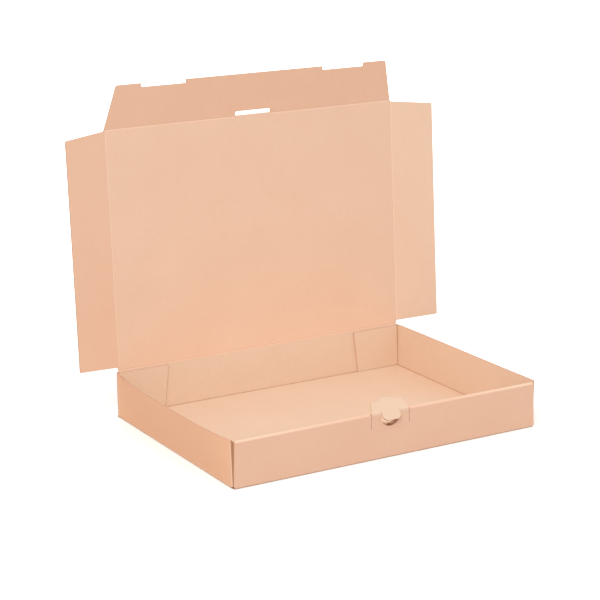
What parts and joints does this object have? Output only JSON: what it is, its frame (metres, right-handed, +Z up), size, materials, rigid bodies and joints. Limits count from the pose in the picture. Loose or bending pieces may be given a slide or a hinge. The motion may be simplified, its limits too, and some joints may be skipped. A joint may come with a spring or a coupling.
{
  "type": "mailer box",
  "caption": "Flat corrugated mailer box folded from one sheet, with a hinged lid that has side flaps and a tuck flap, and a lock tab in its rolled-over front wall.",
  "frame": {"origin": "middle of the tray's flat underside", "axes": "+Z up, +X along the front to the right, -Y out of the front wall that has the lock tab"},
  "size_m": [0.4408, 0.279, 0.3509],
  "materials": {
    "board": "matt",
    "tab_board": "matt"
  },
  "bodies": {
    "tray": {"tray": "board"},
    "lid": {"lid": "board"},
    "left_flap": {"left_flap": "board"},
    "right_flap": {"right_flap": "board"},
    "tuck_flap": {"tuck_flap": "board"},
    "lock_tab": {"lock_tab": "tab_board"}
  },
  "joints": [
    {"name": "lid_hinge", "type": "hinge", "parent": "tray", "child": "lid", "pos_m": [0, 0.1295, 0.05145], "axis": [1, 0, 0], "range_deg": [-87, 93]},
    {"name": "left_flap_hinge", "type": "hinge", "parent": "lid", "child": "left_flap", "pos_m": [-0.17345, 0.1295, 0.05145], "axis": [0, 0.0523, 0.9986], "range_deg": [-11.8, 78.2]},
    {"name": "right_flap_hinge", "type": "hinge", "parent": "lid", "child": "right_flap", "pos_m": [0.17345, 0.1295, 0.05145], "axis": [0, -0.0523, -0.9986], "range_deg": [-18.5, 71.5]},
    {"name": "tuck_flap_hinge", "type": "hinge", "parent": "lid", "child": "tuck_flap", "pos_m": [0, 0.14279, 0.305], "axis": [1, 0, 0], "range_deg": [-14.5, 75.5]},
    {"name": "lock_tab_hinge", "type": "hinge", "parent": "tray", "child": "lock_tab", "pos_m": [0, -0.1295, 0.0472], "axis": [1, 0, 0], "range_deg": [-43.7, 40.9]}
  ],
  "couplings": [
    {"joint": "lock_tab_hinge", "follows": "lid_hinge", "ratio": -0.468}
  ]
}
